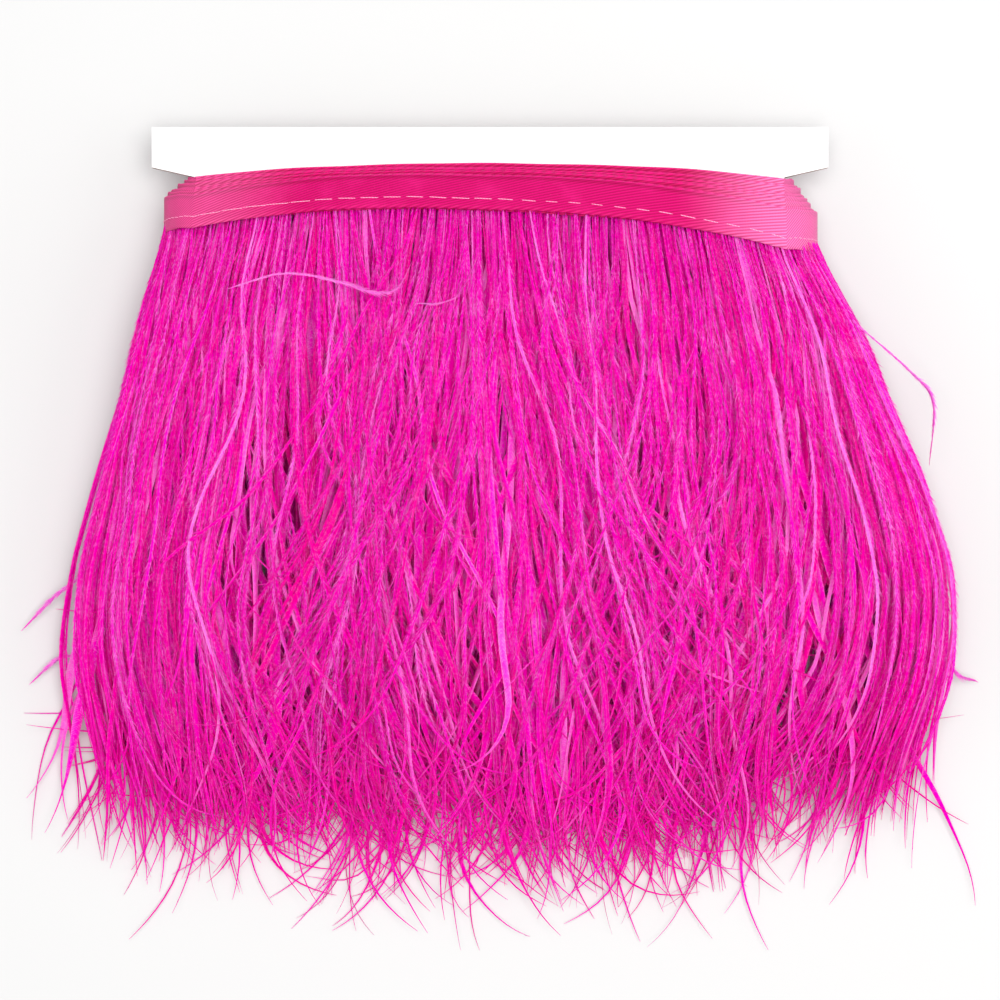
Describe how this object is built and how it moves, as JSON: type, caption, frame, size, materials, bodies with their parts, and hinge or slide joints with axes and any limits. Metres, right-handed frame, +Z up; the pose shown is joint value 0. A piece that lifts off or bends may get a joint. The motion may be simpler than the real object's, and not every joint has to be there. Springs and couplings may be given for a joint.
{
  "type": "feather fringe trim",
  "caption": "Ostrich feather fringe trim: long barbs sewn into a folded twill ribbon, wound round a notched white card and lying flat, for costumes and masquerade wear",
  "frame": {"origin": "On the table, at the middle of the object's outline as it lies on its back", "axes": "+X along the ribbon header, +Y from the feather tips towards the card's top edge, +Z up from the table, out of the front of the card"},
  "size_m": [0.2158, 0.1868, 0.0364],
  "materials": {
    "board": "matte",
    "facing": "satin",
    "ribbon": "satin",
    "thread": "satin",
    "clear_tape": "gloss",
    "feather": "matte"
  },
  "bodies": {
    "root": {"card_core": "board", "card_front_facing": "facing", "card_back_facing": "facing", "header_ribbon": "ribbon", "needle_thread": "thread", "bobbin_thread": "thread", "end_tape": "clear_tape", "fringe_front_1": "feather", "fringe_front_2": "feather", "fringe_front_3": "feather", "fringe_front_4": "feather", "fringe_front_5": "feather", "fringe_front_6": "feather", "fringe_front_7": "feather", "fringe_front_8": "feather", "fringe_back_1": "feather", "fringe_back_2": "feather", "fringe_back_3": "feather", "fringe_back_4": "feather", "fringe_back_5": "feather", "fringe_back_6": "feather", "fringe_back_7": "feather", "fringe_back_8": "feather"}
  },
  "joints": []
}
